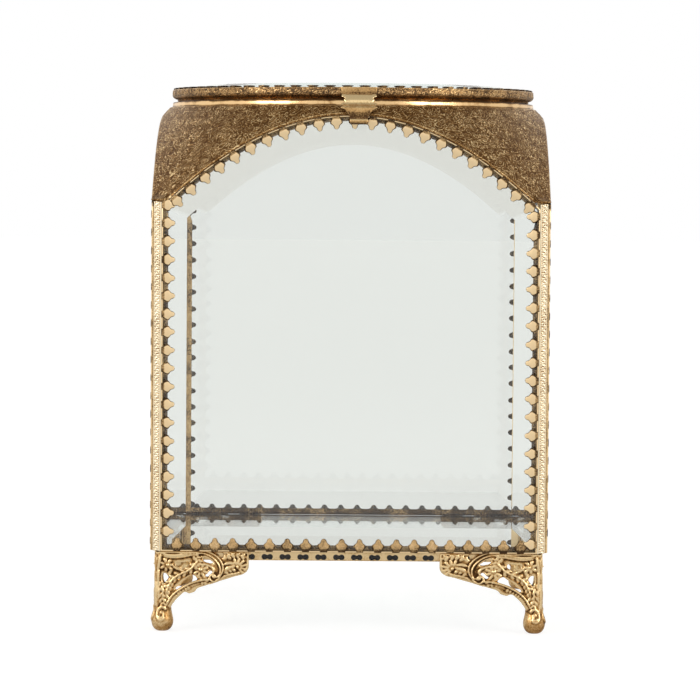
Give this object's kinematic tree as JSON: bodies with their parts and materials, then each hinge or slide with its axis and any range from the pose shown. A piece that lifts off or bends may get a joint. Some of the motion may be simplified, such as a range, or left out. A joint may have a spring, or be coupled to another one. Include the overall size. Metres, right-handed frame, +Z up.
{
  "type": "glass casket box",
  "caption": "Square keepsake casket of arched bevelled glass panes in pronged brass galleries, with a hinged round glass lid and cast corner feet.",
  "frame": {"origin": "middle of the square plan, on the plane that the feet stand on", "axes": "+Z up, front and clasp towards -Y, hinge towards +Y, +X to the right seen from the front"},
  "size_m": [0.11, 0.115, 0.1516],
  "materials": {
    "bevelled_glass": "clear, with a ground and polished bevel",
    "floor_glass": "clear, flat",
    "lid_glass": "clear, with a ground and polished bevel",
    "gallery_brass": "pale antique gold, bright on the prongs and brown in the slots",
    "post_brass": "pale antique gold, embossed",
    "cast_brass": "cast antique gold with brown patina in the hollows",
    "shoulder_bronze": "dark antique gold, finely embossed",
    "plain_brass": "plain antique gold, satin",
    "lid_ring_brass": "warm antique gold, embossed with scrolls",
    "clasp_brass": "antique gold, leaf embossed, bright on the bend",
    "hinge_brass": "plain antique gold, satin"
  },
  "bodies": {
    "body": {"front_glass": "bevelled_glass", "back_glass": "bevelled_glass", "left_glass": "bevelled_glass", "right_glass": "bevelled_glass", "bottom_glass": "floor_glass", "front_gallery": "gallery_brass", "back_gallery": "gallery_brass", "left_gallery": "gallery_brass", "right_gallery": "gallery_brass", "post_front_left": "post_brass", "post_front_right": "post_brass", "post_back_left": "post_brass", "post_back_right": "post_brass", "base_band": "gallery_brass", "foot_front_left": "cast_brass", "foot_front_right": "cast_brass", "foot_back_left": "cast_brass", "foot_back_right": "cast_brass", "shoulder_shell": "shoulder_bronze", "collar": "plain_brass", "hinge_leaf_body": "hinge_brass", "hinge_pin": "hinge_brass"},
    "lid": {"lid_ring": "lid_ring_brass", "lid_prongs": "gallery_brass", "lid_glass": "lid_glass", "lid_rim": "plain_brass", "clasp": "clasp_brass", "hinge_leaf_lid": "hinge_brass"}
  },
  "joints": [
    {"name": "lid_hinge", "type": "hinge", "parent": "body", "child": "lid", "pos_m": [0, 0.056, 0.14723], "axis": [-1, 0, 0], "range_deg": [0, 105]}
  ]
}
